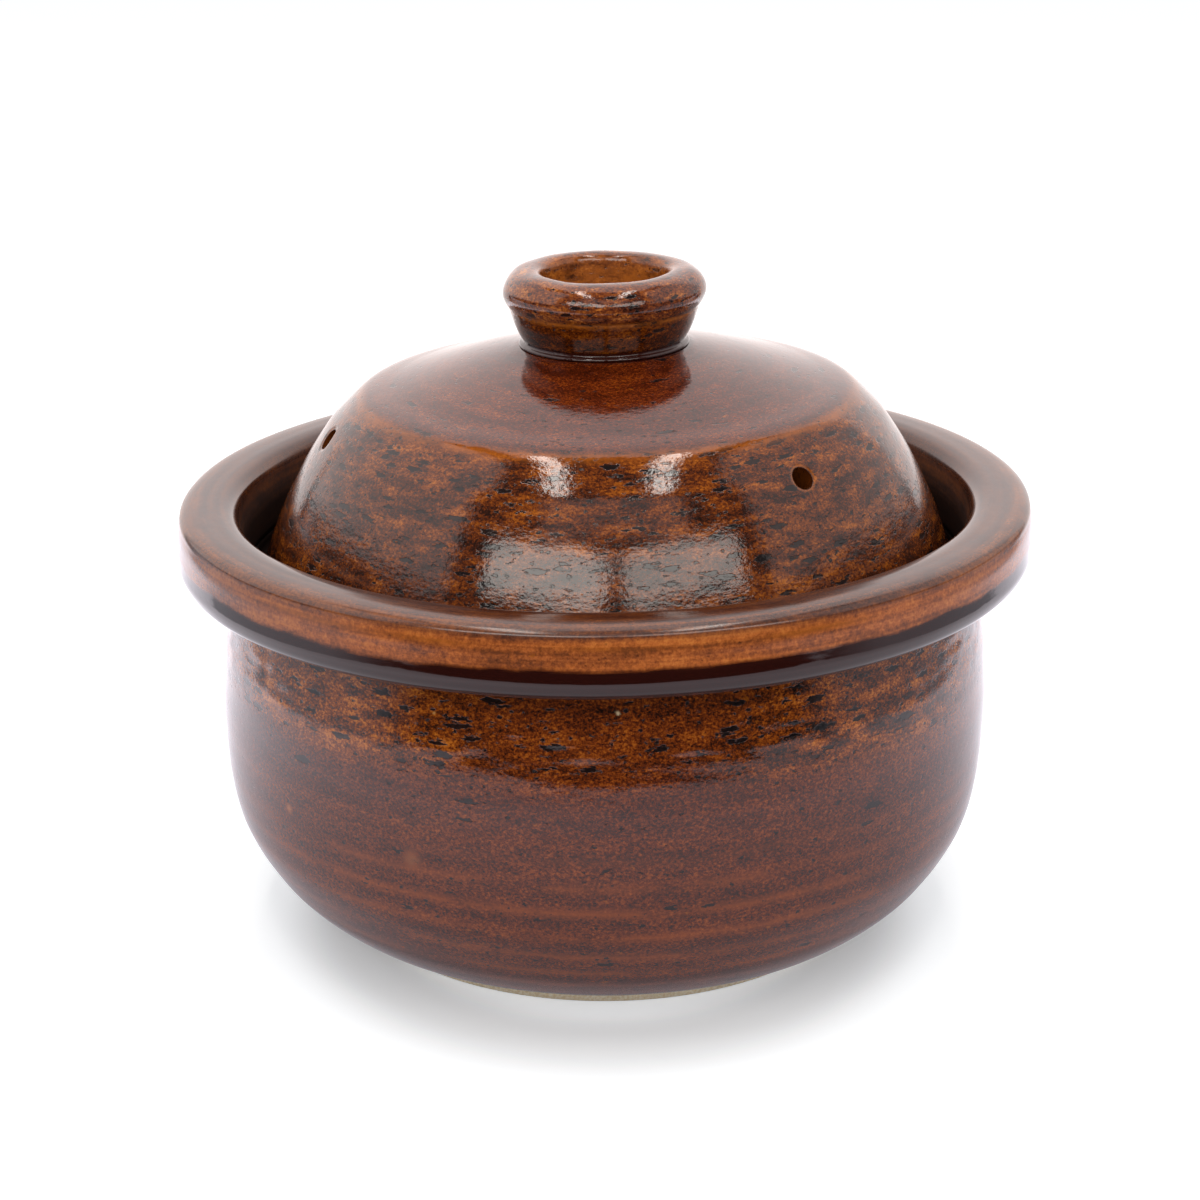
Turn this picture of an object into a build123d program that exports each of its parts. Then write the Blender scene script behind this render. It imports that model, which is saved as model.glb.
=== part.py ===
from build123d import *
import math
import os

# Round stoneware rice pot with a deep collar, a domed lid that drops into it and an inner lid.
# Millimetres, +Z up, origin on the table under the pot's axis, the photographed side towards -Y.
# Every piece is thrown on a wheel, so each is an outline of radius and height turned about Z.

# Driving dimensions of the pot body
foot_radius = 70.4
foot_ring_inner = 58.0
foot_recess_depth = 2.0
belly_radius = 105.0
belly_height = 62.0
wall = 9.5
floor_thickness = 9.0
shoulder_radius = 100.7

# Driving dimensions of the collar and of the two seats in the bowl below it
collar_radius = 115.5
collar_top = 120.0
collar_bottom = 100.8
collar_bore_top = 99.0
collar_bore_bottom = 97.0
outer_seat_height = 97.0
outer_seat_inner = 89.8
inner_seat_height = 90.0
mouth_radius = 83.5

# Driving dimensions of the domed lid
knob_seat_height = 160.0
knob_seat_radius = 22.0
ridge_radius = 66.0
ridge_height = 147.6
lid_rim_radius = 94.2
lid_wall = 9.0
steam_hole_diameter = 6.2
steam_hole_radius_on_lid = 75.7
steam_hole_height = 138.5
steam_hole_elevation = 40.0
steam_hole_count = 3
first_steam_hole_angle = -50.0

# Driving dimensions of the hollow knob
knob_height = 20.0
knob_foot_radius = 22.0
knob_widest_radius = 27.1
knob_mouth_radius = 17.0
knob_recess_depth = 17.5

# Driving dimensions of the inner lid and its knob
inner_lid_radius = 88.2
inner_lid_top = 103.6
inner_lid_thickness = 7.0
inner_knob_seat_radius = 12.0
inner_knob_height = 14.0
vent_diameter = 8.0
vent_circle_radius = 45.0


def turned(*edges):
    """A closed outline of radius and height, turned about the pot's axis."""
    return revolve(Plane.XZ * make_face(edges), Axis.Z)


def pot_body():
    """The thrown bowl: foot ring, belly, shoulder, the two seats in steps and the rim under the collar."""
    inner_floor_height = foot_recess_depth + floor_thickness
    inner_floor_radius = 65.0
    inner_shoulder_radius = 26.7
    throat_angle = 54.0
    throat_start = (
        belly_radius - wall - inner_shoulder_radius * (1 - math.cos(math.radians(throat_angle))),
        belly_height + inner_shoulder_radius * math.sin(math.radians(throat_angle)),
    )
    outside = Spline(
        (foot_radius, 0),
        (83.5, 8.6),
        (94.2, 19.2),
        (102.4, 35.5),
        (belly_radius, belly_height),
        (104.2, 80.0),
        (shoulder_radius, collar_bottom),
    )
    seats = Polyline(
        (shoulder_radius, collar_bottom),
        (collar_bore_bottom, collar_bottom),
        (collar_bore_bottom, outer_seat_height),
        (outer_seat_inner, outer_seat_height),
        (outer_seat_inner, inner_seat_height),
        (mouth_radius + 1.5, inner_seat_height),
    )
    lip = RadiusArc(
        (mouth_radius + 1.5, inner_seat_height),
        (mouth_radius, inner_seat_height - 1.5),
        -1.5,
    )
    throat = Polyline(
        (mouth_radius, inner_seat_height - 1.5),
        (mouth_radius, inner_seat_height - 3.4),
        throat_start,
    )
    upper_wall = CenterArc(
        (belly_radius - wall - inner_shoulder_radius, belly_height),
        inner_shoulder_radius,
        0,
        throat_angle,
    )
    lower_wall = EllipticalCenterArc(
        (inner_floor_radius, belly_height),
        belly_radius - wall - inner_floor_radius,
        belly_height - inner_floor_height,
        start_angle=270,
        arc_size=90,
    )
    base = Polyline(
        (inner_floor_radius, inner_floor_height),
        (0, inner_floor_height),
        (0, foot_recess_depth),
        (foot_ring_inner - 2, foot_recess_depth),
        (foot_ring_inner, 0),
        (foot_radius, 0),
    )
    return turned(outside, seats, lip, throat, upper_wall, lower_wall, base)


def collar():
    """The heavy ring luted onto the bowl's rim: tapered bore, broad top and rounded skirt."""
    top_edge = 4.2
    skirt_edge = 5.5
    bore_edge = 2.6
    underside = Line(
        (collar_bore_bottom, collar_bottom),
        (collar_radius - skirt_edge, collar_bottom),
    )
    skirt = RadiusArc(
        (collar_radius - skirt_edge, collar_bottom),
        (collar_radius, collar_bottom + skirt_edge),
        -skirt_edge,
    )
    side = Line((collar_radius, collar_bottom + skirt_edge), (collar_radius, collar_top - top_edge))
    edge = RadiusArc(
        (collar_radius, collar_top - top_edge),
        (collar_radius - top_edge, collar_top),
        -top_edge,
    )
    rim = Line((collar_radius - top_edge, collar_top), (collar_bore_top + bore_edge, collar_top))
    lip = RadiusArc(
        (collar_bore_top + bore_edge, collar_top),
        (collar_bore_top, collar_top - bore_edge),
        -bore_edge,
    )
    bore = Line((collar_bore_top, collar_top - bore_edge), (collar_bore_bottom, collar_bottom))
    return turned(underside, skirt, side, edge, rim, lip, bore)


def steam_hole(angle):
    """A round drill through the lid's flank, square to it, at an angle about Z from +X."""
    drill = Cylinder(steam_hole_diameter / 2, 4 * lid_wall, rotation=(0, 90 - steam_hole_elevation, 0))
    return Rot(0, 0, angle) * Pos(steam_hole_radius_on_lid, 0, steam_hole_height) * drill


def lid_dome():
    """The domed lid: flat seat for the knob, shallow cone, soft ridge, steep flank and flat rim."""
    rim_flat_inner = 88.6
    rim_flat_outer = lid_rim_radius - 1.6
    outside = Line((0, knob_seat_height), (knob_seat_radius, knob_seat_height))
    cone = Line((knob_seat_radius, knob_seat_height), (ridge_radius - 5, ridge_height + 1.4))
    flank = Spline(
        (ridge_radius - 5, ridge_height + 1.4),
        (ridge_radius, ridge_height - 0.1),
        (ridge_radius + 3.6, ridge_height - 2.7),
        (73.2, 141.0),
        (78.0, 134.9),
        (84.0, 124.4),
        (90.0, 111.0),
        (lid_rim_radius, outer_seat_height + 1.8),
    )
    rim = Polyline(
        (lid_rim_radius, outer_seat_height + 1.8),
        (rim_flat_outer, outer_seat_height),
        (rim_flat_inner, outer_seat_height),
        (rim_flat_inner - 1.8, outer_seat_height + 2.2),
    )
    inside = Spline(
        (rim_flat_inner - 1.8, outer_seat_height + 2.2),
        (82.0, 108.0),
        (73.5, 124.5),
        (60.0, 139.2),
        (38.0, 147.8),
        (16.0, knob_seat_height - lid_wall),
    )
    middle = Polyline(
        (16.0, knob_seat_height - lid_wall),
        (0, knob_seat_height - lid_wall),
        (0, knob_seat_height),
    )
    dome = turned(outside, cone, flank, rim, inside, middle)
    for index in range(steam_hole_count):
        dome -= steam_hole(first_steam_hole_angle + index * 360 / steam_hole_count)
    return dome


def lid_knob():
    """The hollow knob: narrow foot, flared side, thick rolled lip and a funnel-shaped recess."""
    foot = knob_seat_height
    crown = knob_seat_height + knob_height
    recess_bottom = crown - knob_recess_depth
    bottom = Line((0, foot), (knob_foot_radius, foot))
    side = Line((knob_foot_radius, foot), (25.1, foot + 9.4))
    roll = Spline(
        (25.1, foot + 9.4),
        (26.5, foot + 11.7),
        (knob_widest_radius, foot + 14.2),
        (26.2, foot + 17.0),
        (24.1, foot + 19.2),
        (21.4, crown),
        (knob_mouth_radius + 0.6, crown - 1.7),
        (15.2, crown - 6.0),
    )
    funnel = Line((15.2, crown - 6.0), (13.2, recess_bottom + 3))
    corner = RadiusArc((13.2, recess_bottom + 3), (10.2, recess_bottom), 3.1)
    middle = Polyline((10.2, recess_bottom), (0, recess_bottom), (0, foot))
    return turned(bottom, side, roll, funnel, corner, middle)


def inner_lid():
    """The shallow inner lid that rests on the lower seat, with two vents."""
    rest_inner = 84.6
    rest_outer = inner_lid_radius - 1.2
    seat = Line((0, inner_lid_top), (inner_knob_seat_radius, inner_lid_top))
    top = Spline(
        (inner_knob_seat_radius, inner_lid_top),
        (45.0, 101.6),
        (70.0, 98.2),
        (inner_lid_radius - 2.2, 95.4),
    )
    rim = RadiusArc((inner_lid_radius - 2.2, 95.4), (inner_lid_radius, 93.2), 2.2)
    edge = Polyline(
        (inner_lid_radius, 93.2),
        (inner_lid_radius, inner_seat_height + 1.2),
        (rest_outer, inner_seat_height),
        (rest_inner, inner_seat_height),
    )
    underside = Spline(
        (rest_inner, inner_seat_height),
        (80.0, 90.9),
        (45.0, 95.0),
        (15.0, inner_lid_top - inner_lid_thickness),
    )
    middle = Polyline(
        (15.0, inner_lid_top - inner_lid_thickness),
        (0, inner_lid_top - inner_lid_thickness),
        (0, inner_lid_top),
    )
    plate = turned(seat, top, rim, edge, underside, middle)
    for side in (-1, 1):
        plate -= Pos(side * vent_circle_radius, 0, inner_lid_top) * Cylinder(vent_diameter / 2, 40)
    return plate


def inner_lid_knob():
    """The small solid button luted to the middle of the inner lid."""
    foot = inner_lid_top
    crown = foot + inner_knob_height
    bottom = Line((0, foot), (10.0, foot))
    side = Spline(
        (10.0, foot),
        (9.2, foot + 4.5),
        (12.0, foot + 9.5),
        (10.6, crown - 1.4),
        (7.0, crown),
    )
    middle = Polyline((7.0, crown), (0, crown), (0, foot))
    return turned(bottom, side, middle)


pieces = {
    "pot_body": pot_body(),
    "collar": collar(),
    "lid_dome": lid_dome(),
    "lid_knob": lid_knob(),
    "inner_lid": inner_lid(),
    "inner_lid_knob": inner_lid_knob(),
}

os.makedirs("parts", exist_ok=True)
for name, piece in pieces.items():
    export_step(piece, f"parts/{name}.step")
    print(name, "volume", round(piece.volume / 1000, 1), "cm3")
print("overall height", knob_seat_height + knob_height, "width", 2 * collar_radius)
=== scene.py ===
import math
import bpy
import bmesh
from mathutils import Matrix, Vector, noise
from mathutils.geometry import interpolate_bezier


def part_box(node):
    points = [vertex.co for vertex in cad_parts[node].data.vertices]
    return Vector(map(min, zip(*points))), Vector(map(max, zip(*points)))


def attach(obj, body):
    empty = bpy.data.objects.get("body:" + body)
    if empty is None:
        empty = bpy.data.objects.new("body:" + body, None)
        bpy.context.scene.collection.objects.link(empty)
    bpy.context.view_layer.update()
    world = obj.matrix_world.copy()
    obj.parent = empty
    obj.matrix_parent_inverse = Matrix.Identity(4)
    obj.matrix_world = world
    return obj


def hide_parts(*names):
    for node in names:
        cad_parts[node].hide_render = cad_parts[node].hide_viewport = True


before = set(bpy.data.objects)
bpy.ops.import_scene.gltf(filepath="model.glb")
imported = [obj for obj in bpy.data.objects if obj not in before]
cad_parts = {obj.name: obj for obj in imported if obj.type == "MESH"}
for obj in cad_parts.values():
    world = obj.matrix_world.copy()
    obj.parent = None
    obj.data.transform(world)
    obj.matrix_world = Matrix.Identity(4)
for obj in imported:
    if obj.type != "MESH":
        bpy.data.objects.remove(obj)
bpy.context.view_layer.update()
mm = 0.001
print("frame loaded:", ", ".join(sorted(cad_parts)))


def hexColor(code):
    # sRGB hex to the linear values that Blender's colour sockets take
    channels = [int(code[i:i + 2], 16) / 255 for i in (1, 3, 5)]
    linear = [value / 12.92 if value <= 0.04045 else ((value + 0.055) / 1.055) ** 2.4 for value in channels]
    return (*linear, 1.0)


def addNode(tree, kind, settings=None, inputs=None, output=0):
    # one node with its settings, values and links; gives the wanted output, or the node itself for None
    node = tree.nodes.new("ShaderNode" + kind)
    for key, value in (settings or {}).items():
        setattr(node, key, value)
    for key, value in (inputs or {}).items():
        if isinstance(value, bpy.types.NodeSocket):
            tree.links.new(value, node.inputs[key])
        else:
            node.inputs[key].default_value = value
    return node if output is None else node.outputs[output]


# throwing: an outline turned about the wheel's axis, then pushed about like wet clay

def softRun(points, step):
    # a smooth line through a few points of radius and height, cut to about one step
    knots = [Vector((radius * mm, 0, height * mm)) for radius, height in points]
    if len(knots) == 2:
        count = max(2, round((knots[1] - knots[0]).length / (step * mm)) + 1)
        return [knots[0].lerp(knots[1], i / (count - 1)) for i in range(count)]
    slopes = []
    for i, knot in enumerate(knots):
        before, after = knots[max(i - 1, 0)], knots[min(i + 1, len(knots) - 1)]
        slopes.append((after - before) / ((knot - before).length + (after - knot).length))
    line = []
    for start, end, leaving, arriving in zip(knots, knots[1:], slopes, slopes[1:]):
        span = (end - start).length
        count = max(3, round(span / (step * mm)) + 1)
        stretch = interpolate_bezier(start, start + leaving * span / 3, end - arriving * span / 3, end, count)
        line += stretch if not line else stretch[1:]
    return line


def throwPiece(name, runs, turns, sculpt, finer=None):
    # each run is a step and the points that it passes, on from the end of the last run; the attribute "run"
    # keeps the way along the outline for the glaze
    bm = bmesh.new()
    along = bm.verts.layers.float.new("run")
    line, start = [], []
    for step, points in runs:
        for point in softRun(start + points, step):
            if not line or (point - line[-1]).length > 1e-6:
                line.append(point)
        start = points[-1:]
    verts = [bm.verts.new(point) for point in line]
    reach = 0
    for i, vert in enumerate(verts):
        reach += (vert.co - verts[i - 1].co).length if i else 0
        vert[along] = reach
    edges = [bm.edges.new(pair) for pair in zip(verts, verts[1:])]
    if (verts[0].co - verts[-1].co).length < 2 * mm and verts[0].co.x > 1 * mm:
        edges.append(bm.edges.new((verts[-1], verts[0])))
    bmesh.ops.spin(bm, geom=verts + edges, cent=(0, 0, 0), axis=(0, 0, 1), angle=math.tau,
                   steps=turns, use_merge=True)
    bmesh.ops.remove_doubles(bm, verts=bm.verts, dist=1e-6)
    bmesh.ops.recalc_face_normals(bm, faces=bm.faces)
    if finer:
        near = [edge for edge in bm.edges if finer((edge.verts[0].co + edge.verts[1].co) / 2)]
        bmesh.ops.subdivide_edges(bm, edges=near, cuts=2, use_grid_fill=True)
    for vert in bm.verts:
        vert.co = sculpt(vert.co)
    mesh = bpy.data.meshes.new(name)
    bm.to_mesh(mesh)
    bm.free()
    mesh.shade_smooth()
    piece = bpy.data.objects.new(name, mesh)
    bpy.context.scene.collection.objects.link(piece)
    return piece


def ease(value, low, high):
    part = min(max((value - low) / (high - low), 0), 1)
    return part * part * (3 - 2 * part)


def wander(co, size, seed):
    # smooth noise from -1 to 1 whose hills are about size mm across
    return noise.noise(co / (size * mm) + Vector((seed, seed * 0.37, seed * 1.73)))


def outwardOf(co):
    flat = Vector((co.x, co.y, 0))
    return flat / flat.length if flat.length > 1 * mm else Vector((0, 0, 0))


def leanBy(co, lean, low=-1, high=0):
    # a handmade rim stands a little higher on one side
    co.z += co.x * math.tan(lean) * ease(co.z / mm, low, high)
    return co


def coat(piece, rule):
    # glaze notes on each vertex, from 0 to 1: thin where it breaks, pool where it gathers and, in the steam
    # holes, painted shade; bare where there is none, warm where it fired orange; matt with painted shade on
    # the seats and down the collar's bore
    mesh = piece.data
    notes = [rule(vert.co) for vert in mesh.vertices]
    for key in ("thin", "pool", "bare", "warm", "dull"):
        layer = mesh.attributes.new(key, "FLOAT", "POINT")
        layer.data.foreach_set("value", [note.get(key, 0.0) for note in notes])


rim = {
    "radius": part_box("collar")[1].x / mm,
    "top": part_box("collar")[1].z / mm,
    "seam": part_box("collar")[0].z / mm,
    "lean": math.radians(0.85),
}


# pot body

body = {
    "foot": 70.4,
    "ringInner": 58.0,
    "recess": 2.0,
    "wall": 9.5,
    "floor": 11.0,
    "belly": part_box("pot_body")[1].x / mm,
    "bellyHeight": 62.0,
    "shoulder": 100.9,
    "bore": 97.0,
    "outerSeat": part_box("lid_dome")[0].z / mm,
    "outerSeatInner": 89.8,
    "innerSeat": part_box("inner_lid")[0].z / mm,
    "mouth": 83.5,
    "turns": 320,
    "stillBelow": 2.5,      # the foot keeps its shape up to this height, mm
    "foldsBeyond": 98.0,
    "outsideFrom": 99.0,
    "fingerRings": 0.016,   # throwing rings, mm deep
    "ringPitch": 7.4,
    "sway": 0.09,           # slow unevenness of the wall, mm
    "ripple": 0.15,         # drips and waves of glaze under the collar, mm
    "outOfRound": 0.3,
    # glaze folds under the collar: degrees from the front; height, half length, half width and depth in mm
    "folds": [(-11.8, 89.0, 6.0, 1.2, 0.34), (-6.3, 86.8, 6.5, 1.1, 0.32), (11.8, 84.4, 5.5, 1.2, 0.30),
              (-17.0, 86.0, 5.0, 1.0, 0.20), (5.2, 89.4, 4.0, 1.3, 0.18), (-57.5, 88.5, 1.6, 5.5, -0.25),
              (-2.0, 80.5, 9.0, 2.5, -0.20), (18.5, 90.2, 4.5, 1.0, 0.22), (24.0, 83.5, 6.0, 1.1, 0.2)],
}


def sculptBody(co):
    outward = outwardOf(co)
    height = co.z / mm
    azimuth = math.atan2(co.x, -co.y)
    push = 0
    if height > body["stillBelow"]:
        turn = azimuth / math.tau + 0.5 * wander(co, 60, 2)
        rings = math.sin(math.tau * (height / body["ringPitch"] + turn))
        push += body["fingerRings"] * rings * ease(height, 4, 12)
        push += body["sway"] * wander(Vector((co.x, co.y, co.z * 1.5)), 34, 4) * ease(height, 6, 20)
        band = ease(height, 74, 84) * (0.35 + 0.65 * ease(wander(co, 42, 29), -0.25, 0.25))
        push += body["ripple"] * wander(Vector((co.x, co.y, co.z * 2.4)), 6.5, 37) * band
        push += body["outOfRound"] * wander(Vector((co.x, co.y, co.z * 0.4)), 90, 11) * ease(height, 3, 30)
    if outward.dot(co) > body["foldsBeyond"] * mm:
        for fold, level, length, width, depth in body["folds"]:
            across = math.radians(math.degrees(azimuth) - fold) * outward.dot(co) / mm
            if abs(across) < 3 * length and abs(height - level) < 4 * width:
                push += depth * math.exp(-(across / length) ** 2 - ((height - level) / width) ** 2)
    return leanBy(co + outward * push * mm, rim["lean"], 30, 97)


potBody = throwPiece("potBody", [
    (4.0, [(0, body["recess"]), (body["ringInner"] - 2, body["recess"])]),
    (1.0, [(body["ringInner"] - 0.9, 1.4), (body["ringInner"], 0.35), (body["ringInner"] + 1, 0)]),
    (3.0, [(body["foot"] - 1.2, 0)]),
    (0.5, [(body["foot"] - 0.2, 0.12), (body["foot"] + 0.35, 0.6), (body["foot"] + 0.6, 2.3),
           (body["foot"] + 1.4, 3.3)]),
    (1.0, [(75.4, 4.9), (83.5, 8.9), (94.2, 19.2), (102.4, 35.5), (body["belly"], body["bellyHeight"]),
           (104.3, 80.0), (102.3, 93.0), (body["shoulder"], rim["seam"])]),
    (2.0, [(body["bore"], rim["seam"])]),
    (2.0, [(body["bore"], body["outerSeat"])]),
    (2.4, [(body["outerSeatInner"] + 0.6, body["outerSeat"])]),
    (1.0, [(body["outerSeatInner"], body["outerSeat"] - 0.6)]),
    (2.2, [(body["outerSeatInner"], body["innerSeat"])]),
    (2.4, [(body["mouth"] + 1.5, body["innerSeat"])]),
    (1.0, [(body["mouth"] + 0.4, body["innerSeat"] - 0.5), (body["mouth"], body["innerSeat"] - 1.6)]),
    (3.0, [(body["mouth"] + 0.4, 86.4), (85.6, 82.4), (91.0, 76.0),
           (body["belly"] - body["wall"], body["bellyHeight"]), (94.0, 40.0), (88.2, 28.0), (78.0, 16.6),
           (65.0, body["floor"])]),
    (4.0, [(0, body["floor"])]),
], body["turns"], sculptBody)


def bodyCoat(co):
    outward = outwardOf(co).dot(co) / mm
    height = co.z / mm
    wavy = 0.3 * wander(Vector((co.x, co.y, 0)), 18, 51)
    if outward > body["ringInner"] - 3:
        bare = 1 - ease(height + wavy, 3.0, 3.7)
    else:
        bare = 1 - ease(height, 3, 4)
    outside = outward > body["outsideFrom"]
    if outside:
        pool = ease(height, rim["seam"] - 2.2, rim["seam"] - 0.4)
    else:
        pool = 0.9 * ease(height, body["innerSeat"] - 6, body["innerSeat"])
    azimuth = abs(math.degrees(math.atan2(co.x, -co.y)))
    warm = ease(height + 5 * wander(co, 24, 43), 71, 82) * (0.4 + 0.6 * ease(azimuth, 10, 32))
    # the seats are matt, and their near-black colour is painted shade in the gap under the lid
    dull = ease(height, body["innerSeat"] - 1, body["innerSeat"]) if outward < body["bore"] + 1 else 0
    return {"bare": bare, "pool": pool, "warm": warm if outside else 0, "dull": dull}


coat(potBody, bodyCoat)
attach(potBody, "pot")
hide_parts("pot_body")
print("pot body thrown:", len(potBody.data.polygons), "faces")


# collar

collar = {
    "boreTop": 99.0,
    "boreBottom": 97.0,
    "turns": 320,
    "outOfRound": 0.3,
    "poolTop": 8.6,         # the lower edge was dipped last: glaze gathers up to here above the seam, mm
    "poolWave": 0.9,
    "runOff": 14.5,         # height above the seam of the bright line that the glaze ran off from, mm
    "runOffWidth": 0.8,
    "skirt": 8.0,           # the outer face is within this of the full radius, mm
}


def sculptCollar(co):
    outward = outwardOf(co)
    flat = Vector((co.x, co.y, 0))
    co = co + outward * collar["outOfRound"] * wander(flat, 90, 11) * mm
    co = co + outward * 0.12 * wander(Vector((co.x, co.y, co.z * 2)), 30, 6) * mm
    co.z += 0.22 * mm * wander(flat, 60, 5) * ease(co.z / mm, 108, 119)
    return leanBy(co, rim["lean"], 30, 97)


outer, top, seam = rim["radius"], rim["top"], rim["seam"]
lip = collar["boreTop"]
potCollar = throwPiece("potCollar", [
    (2.0, [(collar["boreBottom"], seam), (outer - 6.2, seam)]),
    (0.55, [(outer - 4.3, seam + 0.3), (outer - 2.1, seam + 1.5), (outer - 0.75, seam + 3.0),
            (outer - 0.14, seam + 4.5), (outer, seam + 5.6), (outer - 0.1, seam + 7.2),
            (outer - 0.24, seam + 9.2), (outer - 0.34, seam + 11.0), (outer - 0.46, seam + 13.5),
            (outer - 0.75, top - 3.7), (outer - 1.2, top - 1.8), (outer - 2.9, top - 0.6),
            (outer - 5.6, top - 0.1), (outer - 9.0, top), (lip + 4.6, top - 0.1), (lip + 2.0, top - 0.8),
            (lip + 0.4, top - 2.4), (lip - 0.1, top - 4.6)]),
    (2.0, [(collar["boreBottom"] + 0.2, seam + 3), (collar["boreBottom"], seam)]),
], collar["turns"], sculptCollar)


def collarCoat(co):
    outward = outwardOf(co).dot(co) / mm
    height = (co.z - co.x * math.tan(rim["lean"])) / mm - seam
    flat = Vector((co.x, co.y, 0))
    azimuth = math.atan2(co.x, -co.y)
    edge = collar["poolTop"] + 0.6 * math.cos(azimuth - 0.4)
    edge = edge + collar["poolWave"] * wander(flat, 22, 3) + 0.5 * wander(flat, 6, 13)
    outside = outward > outer - collar["skirt"]
    pool = 1 - ease(height, edge - 0.5, edge + 0.5) if outside else 0
    # a bright line where the glaze ran off the outer edge, and a darker inner lip
    fromLine = height - collar["runOff"] - 0.5 * wander(flat, 30, 19)
    runOff = math.exp(-(fromLine / collar["runOffWidth"]) ** 2)
    runOff *= ease(wander(flat, 24, 27), -0.5, 0.4)
    innerEdge = math.exp(-((outward - lip - 0.9) / 0.8) ** 2) * ease(height, 15, 17.6)
    warm = 1 - ease(height + 0.4 * wander(flat, 14, 7), 15.2, 17.6) if outside else 0.2
    warm *= 1 - 0.5 * ease(-azimuth, 0.3, 1.1)
    fromBore = ease(outward + 0.8 * wander(flat, 16, 61), lip + 6.5, lip + 13)
    innerLip = 0.62 * (1 - fromBore) * ease(height, 14, 18)
    return {
        "pool": max(pool, innerLip),
        "thin": 0.6 * runOff if outside else 0.2 * innerEdge,
        "warm": warm,
        # down the bore the colour goes near black towards the bottom: painted shade, on a matt surface
        "dull": 0 if outside else 0.95 * (1 - ease(height, 6, 18.2)),
    }


coat(potCollar, collarCoat)
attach(potCollar, "pot")
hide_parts("collar")
print("collar thrown:", len(potCollar.data.polygons), "faces")


# domed lid

lid = {
    "seat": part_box("lid_knob")[0].z / mm,
    "ridge": 66.6,
    "ridgeHeight": 147.0,
    "rim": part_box("lid_dome")[1].x / mm,
    "rest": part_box("lid_dome")[0].z / mm,
    "wall": 9.0,
    "turns": 300,
    "lean": math.radians(1.1),
    "lift": 0.4,            # keeps the leaning lid clear of its seat, mm
    "shift": 0.8,           # it sits a little to the right, mm
    "sway": 0.07,
    "ripple": 0.03,
    "outOfRound": 0.25,
    "holeRadius": 3.1,
    "holeAngles": [math.radians(angle) for angle in (-49.5, 70.5, 190.5)],
    "holeCircle": 75.7,
    "holeHeight": 138.5,
    "holeRise": math.radians(40),
    "holeLip": 1.3,         # width of the softened edge round a hole, mm
    "holeDent": 0.5,
    "breakWidth": 1.5,      # half width of the thin line on the ridge, mm
}


def holeFrame(angle):
    flat = Vector((math.cos(angle), math.sin(angle), 0))
    place = flat * lid["holeCircle"] * mm + Vector((0, 0, lid["holeHeight"] * mm))
    return place, flat * math.cos(lid["holeRise"]) + Vector((0, 0, math.sin(lid["holeRise"])))


def holeDistance(co):
    # distance from the axis of the nearest steam hole, on the outside of the lid, in mm
    best = 99
    for angle in lid["holeAngles"]:
        place, way = holeFrame(angle)
        offset = co - place
        along = offset.dot(way)
        if abs(along) < 5 * mm:
            best = min(best, (offset - way * along).length / mm)
    return best


def sculptLid(co):
    outward = outwardOf(co)
    height = co.z / mm
    radius = outward.dot(co) / mm
    push = lid["sway"] * wander(Vector((co.x, co.y, co.z * 1.6)), 26, 17) * ease(height, 98, 104)
    push += (lid["ripple"] * wander(Vector((co.x, co.y, co.z * 1.8)), 9, 53)
             * ease(height, 104, 112) * (1 - ease(height, 141, 147)))
    push += lid["outOfRound"] * wander(Vector((co.x, co.y, co.z * 0.4)), 70, 23) * ease(radius, 30, 60)
    away = holeDistance(co)
    co = co + outward * push * mm
    if away < 12:
        dent = 1 - ease(away, lid["holeRadius"] - 0.4, lid["holeRadius"] + lid["holeLip"])
        co = co - outward * lid["holeDent"] * dent * mm
    co = leanBy(co, lid["lean"])
    return co + Vector((lid["shift"] * ease(radius, 24, 60), 0, lid["lift"])) * mm


lidDome = throwPiece("lidDome", [
    (3.0, [(0, lid["seat"] - 0.2), (19.5, lid["seat"] - 0.2)]),
    (0.7, [(22.4, lid["seat"] - 0.25), (25.5, lid["seat"] - 1.2), (40.0, 155.0), (57.0, 150.15),
           (62.6, 148.75), (65.4, 147.75), (67.4, 146.4), (69.9, 144.1), (72.4, 141.6), (74.8, 139.0),
           (77.6, 135.0), (80.5, 130.6), (82.5, 127.2), (85.2, 122.0), (87.3, 117.6), (90.0, 111.2),
           (92.0, 105.6), (93.3, 101.6), (lid["rim"], lid["rest"] + 1.8)]),
    (0.8, [(lid["rim"] - 0.5, lid["rest"] + 0.5), (lid["rim"] - 1.7, lid["rest"])]),
    (2.0, [(88.6, lid["rest"])]),
    (0.8, [(87.4, lid["rest"] + 0.6), (86.8, lid["rest"] + 2.2)]),
    (3.0, [(82.0, 108.0), (73.5, 124.5), (60.0, 139.2), (38.0, 147.8), (16.0, lid["seat"] - lid["wall"])]),
    (4.0, [(0, lid["seat"] - lid["wall"])]),
], lid["turns"], sculptLid, finer=lambda co: holeDistance(co) < 6.5)


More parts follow.
